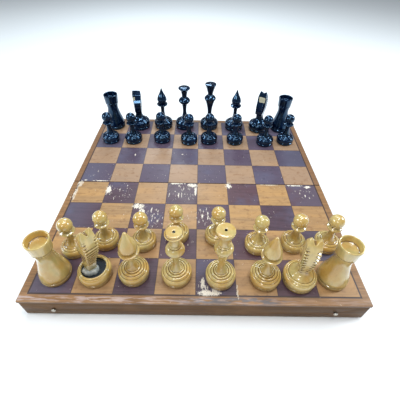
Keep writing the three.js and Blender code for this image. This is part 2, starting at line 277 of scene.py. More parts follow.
def prism(name, outline, depth):
    """A straight-sided block from an outline of (across, up) points in millimetres, along Y about 0."""
    deselect()
    bpy.ops.mesh.primitive_plane_add(size=MM)
    piece = bpy.context.object
    piece.name = name
    edit(piece)
    bpy.ops.mesh.merge(type="CENTER")
    here = Vector(outline[0])
    bpy.ops.transform.translate(value=(here.x * MM, -depth / 2 * MM, here.y * MM))
    for point in outline[1:]:
        step = (Vector(point) - here) * MM
        bpy.ops.mesh.extrude_region_move(TRANSFORM_OT_translate={"value": (step.x, 0, step.y)})
        here = Vector(point)
    bpy.ops.mesh.select_all(action="SELECT")
    bpy.ops.mesh.edge_face_add()
    bpy.ops.mesh.select_mode(type="FACE")
    bpy.ops.mesh.select_all(action="SELECT")
    bpy.ops.mesh.extrude_region_move(TRANSFORM_OT_translate={"value": (0, depth * MM, 0)})
    close()
    tidy(piece)
    return piece


def move(piece, matrix):
    """Applies a place to a piece's mesh."""
    piece.data.transform(matrix)
    return piece


def shift(x, y, z):
    return Matrix.Translation(Vector((x, y, z)) * MM)


def spin_about(axis, degrees):
    return Matrix.Rotation(math.radians(degrees), 4, axis)


def combine(piece, tool, how):
    """Cuts, joins or intersects a piece with a tool, which is used up."""
    modify(piece, "BOOLEAN", object=tool, operation=how, solver="EXACT")
    discard(tool)
    return piece


def join(pieces):
    """Several pieces as one mesh of separate shells."""
    deselect()
    for piece in pieces:
        piece.select_set(True)
    bpy.context.view_layer.objects.active = pieces[0]
    bpy.ops.object.join()
    return pieces[0]


def mark_relief(piece, rounds=2, bore=0.0, deep=0.0):
    """Stores how proud and how hollow the surface is at each point, for wear and for old varnish with
    painted shade, and what is in a bore down the middle, which is painted as shade; its radius and depth are
    in millimetres."""
    mesh = piece.data
    count = len(mesh.vertices)
    places = np.empty(count * 3)
    normals = np.empty(count * 3)
    mesh.vertices.foreach_get("co", places)
    mesh.vertices.foreach_get("normal", normals)
    places, normals = places.reshape(-1, 3), normals.reshape(-1, 3)
    ends = np.empty(len(mesh.edges) * 2, dtype=np.int64)
    mesh.edges.foreach_get("vertices", ends)
    a, b = ends.reshape(-1, 2).T
    along = places[b] - places[a]
    squared = np.maximum((along**2).sum(axis=1), 1e-12)
    bent = ((normals[b] - normals[a]) * along).sum(axis=1) / squared
    weight = np.sqrt(squared)

    def spread(value):
        total = np.bincount(a, value * weight, count) + np.bincount(b, value * weight, count)
        return total / np.maximum(np.bincount(a, weight, count) + np.bincount(b, weight, count), 1e-12)

    curved = spread(bent)
    for _ in range(rounds):
        curved = spread((curved[a] + curved[b]) / 2)
    for name, values in (("proud", (curved - 180) / 900), ("hollow", (-curved - 60) / 500)):
        layer = mesh.attributes.new(name, "FLOAT", "POINT")
        layer.data.foreach_set("value", np.clip(values, 0, 1).astype(np.float32))
    rim = places[:, 2].max() / MM
    inside = np.hypot(places[:, 0], places[:, 1]) / MM < bore
    below = (places[:, 2] / MM < rim - 0.2) & (places[:, 2] / MM > rim - deep)
    layer = mesh.attributes.new("bored", "FLOAT", "POINT")
    layer.data.foreach_set("value", (inside & below).astype(np.float32))


def stand(master, name, node, body, material, at, degrees=0.0):
    """A copy of a finished piece, with its own mesh, standing at its place on a body."""
    piece = master.copy()
    piece.data = master.data.copy()
    piece.name = name
    bpy.context.collection.objects.link(piece)
    move(piece, Matrix.Translation(at) @ spin_about("Z", degrees))
    settle(piece, node, body, material)
    return piece


def settle(piece, node, body, material):
    piece.data.materials.clear()
    piece.data.materials.append(material)
    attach(piece, body)
    if node:
        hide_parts(node)


def from_node(node, name):
    """A clean copy of a node's solid, its flat faces whole again."""
    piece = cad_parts[node].copy()
    piece.data = piece.data.copy()
    piece.name = name
    piece.hide_render = False
    bpy.context.collection.objects.link(piece)
    for key in list(piece.keys()):
        del piece[key]
    edit(piece)
    bpy.ops.mesh.remove_doubles(threshold=1e-6)
    bpy.ops.mesh.dissolve_limited(angle_limit=math.radians(1))
    bpy.ops.mesh.normals_make_consistent(inside=False)
    close()
    return piece


# ---- materials ----


class Finish:
    """A material's nodes, written as expressions on its Object coordinates."""

    def __init__(self, name):
        self.material = bpy.data.materials.new(name)
        self.material.use_nodes = True
        self.tree = self.material.node_tree
        self.shader = self.tree.nodes["Principled BSDF"]
        self.place = self.node("ShaderNodeTexCoord", output="Object")

    def node(self, kind, inputs=(), output=0, **settings):
        made = self.tree.nodes.new(kind)
        for key, value in settings.items():
            setattr(made, key, value)
        for key, value in dict(inputs).items():
            self.feed(made.inputs[key], value)
        return made.outputs[output]

    def feed(self, socket, value):
        if isinstance(value, bpy.types.NodeSocket):
            self.tree.links.new(value, socket)
        elif hasattr(socket.default_value, "__len__") and len(value) == 3 and len(socket.default_value) == 4:
            socket.default_value = (*value, 1.0)
        else:
            socket.default_value = value

    def math(self, operation, *values):
        return self.node("ShaderNodeMath", dict(enumerate(values)), operation=operation)

    def times(self, first, second):
        return self.math("MULTIPLY", first, second)

    def scaled(self, scale, location=(0, 0, 0), place=None):
        inputs = {"Vector": place or self.place, "Scale": scale, "Location": location}
        return self.node("ShaderNodeMapping", inputs)

    def noise(self, scale, detail=3.0, roughness=0.55, distortion=0.0, place=None, location=(0, 0, 0)):
        """Soft noise; scale is patterns per metre along X, Y and Z."""
        inputs = {
            "Vector": self.scaled(scale, location, place), "Scale": 1.0, "Detail": detail,
            "Roughness": roughness, "Distortion": distortion,
        }
        return self.node("ShaderNodeTexNoise", inputs, output="Fac")

    def step(self, value, low, high, to_low=0.0, to_high=1.0):
        """Runs smoothly from one value to another as a value passes from low to high."""
        inputs = {"Value": value, "From Min": low, "From Max": high, "To Min": to_low, "To Max": to_high}
        return self.node("ShaderNodeMapRange", inputs, interpolation_type="SMOOTHSTEP")

    def mix(self, factor, first, second, kind="RGBA"):
        """Runs from the first colour to the second as the factor goes from 0 to 1."""
        made = self.tree.nodes.new("ShaderNodeMix")
        made.data_type = kind
        for key, value in (("Factor", factor), ("A", first), ("B", second)):
            self.feed(made.inputs[key], value)
        return made.outputs["Result"]

    def blend(self, factor, first, second):
        """As mix does, for two plain values."""
        return self.mix(factor, first, second, "FLOAT")

    def attribute(self, name):
        return self.node("ShaderNodeAttribute", output="Fac", attribute_name=name, attribute_type="GEOMETRY")

    def axes(self):
        split = self.tree.nodes.new("ShaderNodeSeparateXYZ")
        self.feed(split.inputs[0], self.place)
        return split.outputs["X"], split.outputs["Y"], split.outputs["Z"]

    def bump(self, height, strength, distance=0.0005):
        normal = self.node("ShaderNodeBump", {"Height": height, "Strength": strength, "Distance": distance},
                           output="Normal")
        self.feed(self.shader.inputs["Normal"], normal)

    def set(self, **values):
        for key, value in values.items():
            self.feed(self.shader.inputs[key.replace("_", " ")], value)
        return self


def darker(colour, share):
    return tuple(value * share for value in colour)


def pale_wood(name):
    """Ochre wood under old varnish: upright grain, grooves browner with old varnish and painted shade, a
    foot darker towards its bottom, paler worn edges, and painted shade in a bore down the middle.
    """
    men = bpy.context.scene.chess_men
    finish = Finish(name)
    z = finish.axes()[2]
    grain = finish.noise((330, 330, 26), detail=4)
    cloud = finish.noise((44, 44, 34), detail=3)
    fleck = finish.noise((900, 900, 120), detail=2)
    colour = finish.mix(finish.step(grain, 0.38, 0.68), tuple(men.pale), darker(men.pale, 0.82))
    colour = finish.mix(finish.step(cloud, 0.42, 0.62), colour, (0.50, 0.30, 0.070))
    tinge = finish.noise((70, 70, 50), detail=3, location=(3, 1, 8))
    colour = finish.mix(finish.step(tinge, 0.52, 0.66, 0.0, 0.6), colour, (0.44, 0.36, 0.13))
    # Browner towards the foot's bottom, and in the hollows, where old varnish and painted shade darken the
    # grooves.
    above = finish.math("SUBTRACT", z, SURFACE)
    low = finish.step(above, 0.0110, 0.001, 0.0, 0.70)
    hollow_dirt_and_shade = finish.step(finish.attribute("hollow"), 0.0, 0.35, 0.0, 0.92)
    old = finish.math("MAXIMUM", low, hollow_dirt_and_shade)
    colour = finish.mix(old, colour, tuple(men.tan))
    worn = finish.step(finish.attribute("proud"), 0.1, 0.7)
    rub = finish.times(worn, finish.step(cloud, 0.35, 0.6))
    colour = finish.mix(finish.times(rub, 0.6), colour, (0.74, 0.60, 0.33))
    # Painted shade: a near-black inside the bore of a crown's pin hole and of a knight's socket.
    hole = finish.step(finish.attribute("bored"), 0.4, 0.6)
    colour = finish.mix(hole, colour, (0.018, 0.024, 0.032))
    rough = finish.step(cloud, 0.3, 0.75, 0.14, 0.32)
    finish.set(Base_Color=colour, Roughness=rough, Coat_Weight=1.0, Coat_Roughness=0.10)
    relief = finish.math("ADD", finish.times(grain, 0.5), finish.times(fleck, 0.3))
    finish.bump(relief, 0.12)
    return finish.material


def black_lacquer(name):
    """Thick gloss lacquer with faint orange peel, rubbed edges and bare patches."""
    men = bpy.context.scene.chess_men
    finish = Finish(name)
    cloud = finish.noise((60, 60, 60), detail=3)
    speck = finish.noise((700, 700, 700), detail=2)
    peel = finish.noise((230, 230, 160), detail=1)
    proud = finish.step(finish.attribute("proud"), 0.50, 0.85)
    rubbed = finish.times(proud, finish.step(speck, 0.40, 0.52))
    rubbed = finish.times(rubbed, finish.step(cloud, 0.44, 0.58, 0.0, 0.7))
    colour = finish.mix(finish.step(cloud, 0.4, 0.7), tuple(men.lacquer), (0.001, 0.006, 0.028))
    colour = finish.mix(rubbed, colour, tuple(men.rubbed))
    bare = finish.math("MAXIMUM", *[bare_patch(finish, *patch) for patch in BARE_PATCHES])
    colour = finish.mix(bare, colour, (0.46, 0.42, 0.27))
    glossy = finish.step(cloud, 0.35, 0.7, 0.06, 0.15)
    rough = finish.blend(finish.math("MAXIMUM", rubbed, bare), glossy, 0.55)
    finish.set(Base_Color=colour, Roughness=rough, Specular_IOR_Level=1.0, Specular_Tint=(0.32, 0.62, 1.0))
    finish.bump(peel, 0.02, 0.0003)
    return finish.material


# Bare wood on the black knights: piece, place from the middle of its foot and size, in millimetres.
BARE_PATCHES = (
    ("black_knight_g_foot", (-2.5, -4.5, 62.8), (4.8, 8.0, 4.1)),
    ("black_knight_b_foot", (-3.4, -7.5, 60.5), (1.6, 8.0, 2.6)),
)


def bare_patch(finish, node, offset, size):
    """1 inside a ragged box round a place on a piece, and 0 outside it."""
    at = middle(node) + Vector(offset) * MM
    ragged = finish.noise((420, 420, 420), detail=3)
    reach = None
    for axis, centre, half in zip(finish.axes(), at, size):
        away = finish.math("ABSOLUTE", finish.math("SUBTRACT", axis, centre))
        share = finish.math("DIVIDE", away, half * MM)
        reach = share if reach is None else finish.math("MAXIMUM", reach, share)
    return finish.step(finish.math("ADD", reach, finish.times(ragged, 0.5)), 1.28, 1.2)


def glue_lumps(name):
    men = bpy.context.scene.chess_men
    finish = Finish(name)
    cloud = finish.noise((350, 350, 350), detail=3)
    colour = finish.mix(finish.step(cloud, 0.35, 0.65), tuple(men.glue), (0.50, 0.52, 0.49))
    finish.set(Base_Color=colour, Roughness=finish.step(cloud, 0.3, 0.7, 0.25, 0.5))
    finish.bump(cloud, 0.35)
    return finish.material


def plated_steel(name):
    finish = Finish(name)
    cloud = finish.noise((120, 120, 120), detail=4)
    pitting = finish.noise((900, 900, 900), detail=2)
    colour = finish.mix(finish.step(cloud, 0.45, 0.75), (0.56, 0.53, 0.47), (0.30, 0.24, 0.17))
    finish.set(Base_Color=colour, Metallic=1.0, Roughness=finish.step(cloud, 0.3, 0.8, 0.28, 0.6))
    finish.bump(pitting, 0.15, 0.0002)
    return finish.material


# Where stain and varnish have flaked: file and rank in squares from the board's left front corner, and size
# across and along the files in squares.
CHIPS = (
    (0.05, 3.88, 0.09, 0.18), (0.02, 3.45, 0.05, 0.40), (1.06, 3.60, 0.10, 0.22), (3.82, 3.88, 0.18, 0.10),
    (3.94, 3.60, 0.04, 0.24), (3.30, 3.96, 0.26, 0.04), (5.05, 3.90, 0.12, 0.15), (6.42, 3.97, 0.34, 0.03),
    (7.30, 3.95, 0.28, 0.03), (7.74, 3.88, 0.11, 0.07), (2.16, 2.88, 0.20, 0.12), (2.30, 2.68, 0.09, 0.12),
    (4.35, 0.06, 0.30, 0.09), (4.55, 0.34, 0.05, 0.14), (4.18, 0.30, 0.05, 0.16), (5.02, 0.12, 0.03, 0.20),
    (0.72, 4.04, 0.36, 0.02), (0.15, 4.06, 0.07, 0.03), (3.40, 5.62, 0.05, 0.025), (1.62, 5.55, 0.03, 0.06),
)
# Squares scratched along the files: file, rank, width and length in squares, and how much of it is bare.
SCRATCHED = (
    (1.50, 3.50, 0.60, 0.50, 0.55), (3.45, 3.50, 0.60, 0.55, 0.68), (2.55, 2.45, 0.55, 0.55, 0.82),
    (3.45, 2.45, 0.50, 0.50, 0.40), (4.20, 2.50, 0.30, 0.50, 0.85), (4.70, 2.30, 0.30, 0.50, 0.40),
    (3.50, 1.50, 0.50, 0.50, 0.55), (4.40, 0.25, 0.55, 0.25, 0.85), (1.60, 2.50, 0.30, 0.40, 0.45),
    (5.30, 3.80, 0.40, 0.20, 0.35), (7.50, 3.60, 0.45, 0.40, 0.50), (0.40, 3.60, 0.45, 0.30, 0.35),
    (6.30, 2.60, 0.35, 0.40, 0.30), (0.60, 4.30, 0.60, 0.35, 0.40),
)


def spot(finish, x, y, place, size):
    """How far a point is from the middle of an oval patch, squared, with 1 at its edge; all in squares."""
    total = None
    for axis, centre, half in zip((x, y), place, size):
        away = finish.math("DIVIDE", finish.math("SUBTRACT", axis, centre), half)
        squared = finish.times(away, away)
        total = squared if total is None else finish.math("ADD", total, squared)
    return total


def flaked(finish, across, along):
    """1 where the surface has flaked or been scratched to bare wood; across and along are in squares."""
    ragged = finish.noise((420, 170, 1), detail=5, roughness=0.78)
    nearest = None
    for file, rank, wide, long in CHIPS:
        reach = spot(finish, across, along, (file, rank), (wide, long))
        nearest = reach if nearest is None else finish.math("MINIMUM", nearest, reach)
    chips = finish.step(finish.math("ADD", finish.times(nearest, 0.15), ragged), 0.62, 0.58)
    streak = finish.noise((420, 95, 1), detail=4, roughness=0.7)
    rub = None
    for file, rank, wide, long, bare in SCRATCHED:
        reach = spot(finish, across, along, (file, rank), (wide, long))
        share = finish.step(reach, 1.3, 0.2, 0.0, bare)
        rub = share if rub is None else finish.math("MAXIMUM", rub, share)
    depth = finish.math("ADD", streak, finish.times(rub, 0.155))
    scratches = finish.step(depth, 0.700, 0.722)
    speckle = finish.step(finish.noise((390, 390, 1), detail=2, location=(7, 3, 0)), 0.725, 0.745)
    return finish.math("MAXIMUM", chips, finish.math("MAXIMUM", scratches, speckle))


def playing_face(name):
    """Stained squares with a drawn line between them, in a plain border, under worn varnish, with a painted
    bluish sheen on the dark and rear squares and painted shade on the panel's sides and along the fold.
    """
    board = bpy.context.scene.chess_board
    square = board.square
    field = 4 * square
    finish = Finish(name)
    x, y, z = finish.axes()
    across = finish.math("ADD", finish.math("DIVIDE", x, square), 4.0)
    along = finish.math("ADD", finish.math("DIVIDE", y, square), 4.0)
    file, rank = finish.math("FLOOR", across), finish.math("FLOOR", along)
    light = finish.math("MODULO", finish.math("ADD", finish.math("ADD", file, rank), 16.0), 2.0)
    inside = finish.math(
        "LESS_THAN", finish.math("MAXIMUM", finish.math("ABSOLUTE", x), finish.math("ABSOLUTE", y)), field
    )
    cell = finish.node("ShaderNodeCombineXYZ", {"X": file, "Y": rank})
    chance = finish.node("ShaderNodeTexWhiteNoise", {"Vector": cell}, output="Value", noise_dimensions="3D")
    rear = finish.step(y, -0.002, 0.002)

    grain = finish.noise((26, 420, 60), detail=5, roughness=0.6, distortion=0.4)
    broad = finish.noise((9, 60, 20), detail=3)
    cloud = finish.noise((22, 22, 22), detail=4)
    mottle = finish.noise((120, 160, 60), detail=5, roughness=0.65)
    fine = finish.noise((500, 900, 300), detail=3)

    lines = finish.step(grain, 0.35, 0.7)
    tan = finish.mix(lines, tuple(board.light_square), darker(board.light_square, 0.72))
    tan = finish.mix(finish.step(broad, 0.42, 0.7, 0.0, 0.7), tan, (0.50, 0.275, 0.10))
    tan = finish.mix(finish.times(chance, 0.5), tan, (0.37, 0.20, 0.085))
    # Painted reflection: the rear half's light squares turn pinker and greyer, as sky mirrored in the
    # varnish.
    tan = finish.mix(finish.times(rear, 0.6), tan, (0.30, 0.20, 0.145))
    tan = finish.mix(finish.step(mottle, 0.50, 0.70, 0.0, 0.62), tan, (0.20, 0.095, 0.04))
    plum = finish.mix(lines, tuple(board.dark_square), darker(board.dark_square, 0.6))
    plum = finish.mix(finish.times(chance, 0.6), plum, (0.125, 0.052, 0.056))
    # Painted reflection: a bluish sheen on the rear half's dark squares and in cloudy patches over all of
    # them.
    plum = finish.mix(finish.times(rear, 0.5), plum, (0.070, 0.066, 0.118))
    plum = finish.mix(finish.step(cloud, 0.5, 0.75, 0.0, 0.7), plum, (0.092, 0.084, 0.138))
    plum = finish.mix(finish.step(mottle, 0.55, 0.72, 0.0, 0.5), plum, (0.022, 0.016, 0.024))
    # Painted reflection: a bluish grey sheen on the dark squares towards the left and right edges.
    wide = finish.math("ABSOLUTE", x)
    plum = finish.mix(finish.step(wide, 2.7 * square, 3.7 * square, 0.0, 0.45), plum, (0.105, 0.105, 0.150))
    squares = finish.mix(light, plum, tan)

    from_line = []
    for value in (across, along):
        from_middle = finish.math("ABSOLUTE", finish.math("SUBTRACT", finish.math("FRACT", value), 0.5))
        from_line.append(finish.math("SUBTRACT", 0.5, from_middle))
    near = finish.times(finish.math("MINIMUM", *from_line), square)
    line = finish.step(near, board.line * 1.7, board.line * 0.6)
    squares = finish.mix(finish.times(line, 0.8), squares, (0.03, 0.018, 0.02))

    margin = finish.mix(lines, tuple(board.border), darker(board.border, 0.6))
    margin = finish.mix(finish.times(rear, 0.5), margin, (0.17, 0.085, 0.045))
    front = finish.step(y, -field - 0.0015, -field - 0.004)
    scuff = finish.times(front, finish.step(finish.noise((55, 420, 1), detail=6), 0.46, 0.60))
    scuff = finish.times(scuff, finish.step(across, 7.6, 2.6, 0.25, 1.0))
    margin = finish.mix(finish.times(scuff, 0.55), margin, (0.56, 0.45, 0.44))
    # A darker, bluish grey, streaky patch on the front margin, in front of the d to g files.
    front_dark_patch = finish.step(spot(finish, across, along, (4.9, -0.14), (1.5, 0.11)), 1.2, 0.3)
    front_dark_patch = finish.times(front_dark_patch, finish.step(finish.noise((60, 300, 1), detail=5), 0.44, 0.56))
    margin = finish.mix(finish.times(front_dark_patch, 0.75), margin, (0.10, 0.11, 0.13))
    outer = finish.math("MAXIMUM", finish.math("ABSOLUTE", x), finish.math("ABSOLUTE", y))
    from_rule = finish.math("ABSOLUTE", finish.math("SUBTRACT", outer, field + 0.0007))
    rule = finish.step(from_rule, 0.0010, 0.0005)
    colour = finish.mix(inside, margin, squares)
    colour = finish.mix(finish.times(rule, 0.9), colour, (0.03, 0.02, 0.025))

    edge = finish.step(outer, HALF_BOARD - 0.0022, HALF_BOARD - 0.0004)
    edge = finish.times(edge, finish.step(cloud, 0.42, 0.6))
    colour = finish.mix(finish.times(edge, 0.6), colour, (0.42, 0.25, 0.13))
    # Painted shade: the panel's rounded edge and sides darken below the playing surface.
    side = finish.step(z, SURFACE - 0.0008, SURFACE - 0.0022)
    colour = finish.mix(finish.times(side, 0.75), colour, (0.075, 0.035, 0.018))

    # Painted shade: a near-black line along the fold, where the two panels meet.
    fold = finish.step(finish.math("ABSOLUTE", y), 0.0009, 0.0003, 0.0, 0.85)
    colour = finish.mix(fold, colour, (0.018, 0.012, 0.014))
    bare = flaked(finish, across, along)
    on_dark = finish.math("SUBTRACT", 1.0, finish.times(light, 0.45))
    on_top = finish.math("SUBTRACT", 1.0, side)
    bare = finish.times(finish.times(bare, on_top), on_dark)
    colour = finish.mix(bare, colour, tuple(board.bare))

    rough = finish.step(cloud, 0.3, 0.75, 0.40, 0.58)
    rough = finish.blend(bare, rough, 0.8)
    finish.set(Base_Color=colour, Roughness=rough, Specular_IOR_Level=0.4)
    relief = finish.math("ADD", finish.times(grain, 0.35), finish.times(fine, 0.2))
    relief = finish.math("SUBTRACT", relief, finish.times(bare, 0.7))
    relief = finish.math("SUBTRACT", relief, finish.times(line, 0.5))
    finish.bump(relief, 0.35, 0.0004)
    return finish.material


def rail_wood(name, along_x):
    """Brown varnished rails, with the grain along the rail and rubbed edges."""
    board = bpy.context.scene.chess_board
    finish = Finish(name)
    z = finish.axes()[2]
    grain = finish.noise((10, 300, 300) if along_x else (300, 10, 300), detail=5, distortion=0.5)
    cloud = finish.noise((30, 30, 60), detail=3)
    colour = finish.mix(finish.step(grain, 0.35, 0.7), tuple(board.rail), darker(board.rail, 0.6))
    colour = finish.mix(finish.step(cloud, 0.45, 0.75), colour, (0.17, 0.09, 0.04))
    low = finish.step(z, 0.006, 0.002)
    colour = finish.mix(finish.times(low, 0.5), colour, (0.17, 0.10, 0.042))
    finish.set(Base_Color=colour, Roughness=finish.step(cloud, 0.3, 0.75, 0.42, 0.6),
               Specular_IOR_Level=0.18)
    finish.bump(grain, 0.25, 0.0004)
    return finish.material


def made(name, make):
    """A material by its name, made the first time it is asked for."""
    return bpy.data.materials.get(name) or make(name)


# ---- the board ----


class CHESS_OT_panels(bpy.types.Operator):
    """Two playing panels with worn, rounded edges"""

    bl_idname = "chess.panels"
    bl_label = "Playing Panels"

    def execute(self, context):
        edge = context.scene.chess_board.edge
        material = playing_face("worn_squares")
        for half in ("front", "rear"):
            piece = from_node(f"{half}_panel", f"worn_{half}_panel")
            modify(piece, "BEVEL", width=edge, segments=4, limit_method="ANGLE")
            smooth(piece)
            settle(piece, f"{half}_panel", f"{half}_half", material)
        return {"FINISHED"}


class CHESS_OT_rails(bpy.types.Operator):
    """Eight rails that make the two trays"""

    bl_idname = "chess.rails"
    bl_label = "Rails"

    def execute(self, context):
        edge = context.scene.chess_board.edge
        long_grain = rail_wood("long_grain", True)
        short_grain = rail_wood("short_grain", False)
        for half in ("front", "rear"):
            for rail in ("outer", "fold", "left", "right"):
                piece = from_node(f"{half}_{rail}_rail", f"eased_{half}_{rail}_rail")
                modify(piece, "BEVEL", width=edge * 0.55, segments=2, limit_method="ANGLE")
                smooth(piece)
                material = long_grain if rail in ("outer", "fold") else short_grain
                settle(piece, f"{half}_{rail}_rail", f"{half}_half", material)
        return {"FINISHED"}


class CHESS_OT_hinges(bpy.types.Operator):
    """Two hinges, with the screws that hold their leaves"""

    bl_idname = "chess.hinges"
    bl_label = "Hinges"

    # A leaf's screws: from one to the next, in from its outer edge and up from its base, in millimetres.
    APART, INSET, RISE = 11, 3.2, 1.9

    def execute(self, context):
        steel = made("plated_steel", plated_steel)
        for side in ("left", "right"):
            for node in (f"{side}_hinge_front_leaf", f"{side}_hinge_rear_leaf", f"{side}_hinge_pin"):
                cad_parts[node].data.materials.clear()
                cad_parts[node].data.materials.append(steel)
        self.screws(steel)
        return {"FINISHED"}

    def screws(self, steel):
        """Three plain, slightly domed screw heads in each hinge leaf."""
        head = turn("screw", Outline().to((1.0, 0.0), (1.0, 0.5), (1.0, 2.4), (0.0, 2.6)), 20)
        for side in ("left", "right"):
            for half, away in (("front", -1), ("rear", 1)):
                low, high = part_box(f"{side}_hinge_{half}_leaf")
                leaf = middle(f"{side}_hinge_{half}_leaf")
                across = (low[1] if away < 0 else high[1]) - away * self.INSET * MM
                for i in (-1, 0, 1):
                    at = Vector((leaf.x + i * self.APART * MM, across, low[2] + self.RISE * MM))
                    name = f"{side}_{half}_hinge_screw_{i + 2}"
                    stand(head, name, None, f"{half}_half", steel, at)
        discard(head)


class CHESS_OT_hooks(bpy.types.Operator):
    """Two hooks, the screws they turn on and the pins they catch"""

    bl_idname = "chess.hooks"
    bl_label = "Hooks"

    def execute(self, context):
        steel = made("plated_steel", plated_steel)
        for side in ("left", "right"):
            piece = from_node(f"{side}_hook", f"filed_{side}_hook")
            modify(piece, "BEVEL", width=0.25 * MM, segments=2, limit_method="ANGLE")
            smooth(piece)
            settle(piece, f"{side}_hook", f"{side}_hook", steel)
            for node, body in ((f"{side}_hook_screw", "rear_half"), (f"{side}_catch_pin", "front_half")):
                piece = from_node(node, f"domed_{node}")
                modify(piece, "BEVEL", width=0.15 * MM, segments=2, limit_method="ANGLE")
                smooth(piece, 50)
                settle(piece, node, body, steel)
        return {"FINISHED"}


# ---- the men ----


def foot(radius, outer, inner):
    """A turned foot: a band below a groove, an upright side, a tight shoulder, a step and two rings."""
    outline = Outline().to((radius - 1.5, 0), (radius - 0.9, 0.6), (radius - 0.5, 4.1))
    outline.to((radius - 1.6, 4.7), (radius - 1.6, 5.1), (radius - 0.4, 5.8))
    outline.bend((radius + 0.1, 7.6), (radius - 0.05, 9.8), 5)
    outline.bend((radius - 0.3, 12.8), (radius - 1.9, 13.8), 8)
    outline.to((radius - 2.4, 13.4), (radius - 2.9, 14.3)).bend((radius - 3.6, 15.6), (outer + 0.9, 15.8), 6)
    outline.to((outer + 0.2, 15.2), (outer - 0.3, 16.1)).bend((outer - 0.9, 16.9), (inner + 1.2, 16.7), 5)
    outline.to((inner + 0.4, 16.0), (inner, 16.9))
    return outline.bend((inner - 0.7, 17.5), (inner - 1.5, 17.4), 4)


def king(colour, radius, height):
    outline = foot(radius, 11.0, 7.8).bend((4.6, 20.5), (3.7, 31), 12)
    outline.bend((4.2, 40), (5.8, 45.5), 6).bend((7.4, 52.6), (9.4, 56.0), 6)
    if colour == "white":
        outline.bend((10.4, 57.6), (9.9, 59.8), 6).bend((9.2, 62.2), (6.9, 63.2), 6)
        outline.to((6.1, 63.0), (6.8, 63.9), (6.7, 65.4), (5.8, 66.2))
        outline.bend((5.7, 72.0), (7.4, 79.6), 8).to((7.8, 80.6), (7.6, 81.4), (8.8, 82.2))
        outline.bend((9.7, 83.6), (9.5, 85.8), 5).to((9.0, height), (1.7, height), (1.4, height - 0.4))
        return outline.to((1.3, height - 4), (0, height - 4.4))
    outline.to((10.5, 58.4), (10.5, 59.6)).bend((9.2, 62.6), (6.0, 64.6), 6)
    outline.bend((4.6, 65.8), (4.5, 67.4), 4)
    outline.bend((6.0, 74.6), (9.4, 83.2), 7).bend((10.4, 84.6), (9.6, 85.8), 4)
    return outline.bend((6.0, 86.9), (2.2, 86.2), 5).bend((1.0, height), (0, height), 3)


def queen(colour, radius, height):
    outline = foot(radius, 11.2, 8.0).bend((4.8, 20.5), (3.4, 31), 12)
    outline.bend((3.1, 38), (4.3, 44.0), 6).bend((5.4, 47.6), (8.6, 49.6), 6)
    if colour == "white":
        outline.bend((10.6, 50.8), (10.0, 53.0), 6).bend((9.2, 56.6), (6.6, 58.2), 6)
        outline.to((5.6, 58.0), (6.2, 59.0), (6.0, 60.4), (4.9, 61.4)).bend((4.5, 67.0), (5.4, 72.0), 7)
        outline.bend((6.6, 75.2), (9.2, 76.4), 5).bend((10.0, 77.2), (9.4, 78.3), 4)
        outline.to((8.1, 78.4), (7.9, 80.0))
        outline.to((7.4, height), (1.7, height), (1.4, height - 0.4))
        return outline.to((1.3, height - 4), (0, height - 4.4))
    outline.to((10.6, 52.8), (10.7, 54.0)).bend((9.4, 57.4), (5.8, 59.4), 6)
    outline.bend((4.5, 60.4), (4.5, 62.0), 4)
    outline.bend((5.0, 68.4), (7.0, 72.4), 7).bend((8.6, 74.6), (10.3, 75.8), 4)
    outline.bend((11.0, 76.6), (10.2, 77.8), 4)
    return outline.bend((6.8, 79.9), (2.2, 79.4), 5).bend((1.2, height), (0, height), 3)


def bishop(colour, radius, height):
    outline = foot(radius, 11.8, 8.4).bend((4.6, 20.5), (3.3, 30), 12)
    if colour == "white":
        outline.bend((3.0, 36), (4.4, 39.8), 6).bend((6.4, 42.6), (10.2, 44.4), 6)
        outline.bend((11.5, 45.6), (10.8, 47.0), 4).bend((7.6, 47.6), (5.4, 48.6), 4)
        outline.bend((8.8, 49.4), (9.7, 52.8), 7).bend((10.0, 55.8), (7.4, 61.6), 8)
        return outline.bend((4.4, 68.6), (1.9, height - 1.6), 7).bend((1.3, height), (0, height), 4)
    outline.bend((3.0, 37), (4.0, 40.6), 6).bend((6.0, 43.4), (9.2, 45.0), 6)
    outline.bend((10.2, 46.2), (9.4, 47.4), 4).bend((6.0, 47.8), (4.0, 49.4), 4)
    outline.bend((8.4, 51.4), (8.7, 55.4), 7).bend((8.2, 60.0), (5.0, 65.2), 8)
    return outline.bend((2.4, 70.4), (1.0, height - 1.4), 6).bend((0.8, height), (0, height), 4)


def pawn(colour, radius, height):
    ball = 8.5 if colour == "white" else 8.2
    outline = Outline().to((radius - 1.3, 0), (radius - 0.7, 0.6), (radius - 0.4, 3.5))
    outline.to((radius - 1.4, 4.1), (radius - 1.4, 4.5), (radius - 0.3, 5.2))
    outline.bend((radius + 0.1, 6.8), (radius - 0.1, 8.8), 5)
    outline.bend((radius - 0.4, 11.8), (radius - 2.2, 12.8), 8)
    outline.to((radius - 2.7, 12.4), (radius - 3.2, 13.3))
    outline.bend((radius - 3.8, 14.5), (radius - 5.0, 14.5), 5)
    outline.to((radius - 5.6, 13.9), (radius - 6.0, 13.7))
    outline.bend((radius - 7.4, 13.9), (radius - 8.8, 16.0), 5)
    outline.bend((4.4, 20.0), (3.7, 27), 8)
    outline.bend((3.6, 32), (4.8, 33.8), 4).bend((7.4, 35.2), (8.3, 35.7), 4).to((8.8, 36.5), (8.4, 37.4))
    outline.bend((6.8, 38.0), (5.2, 39.3), 3)
    start = math.degrees(math.asin((39.6 - (height - ball)) / ball))
    return outline.arc(0, height - ball, ball, start, 90, 22)


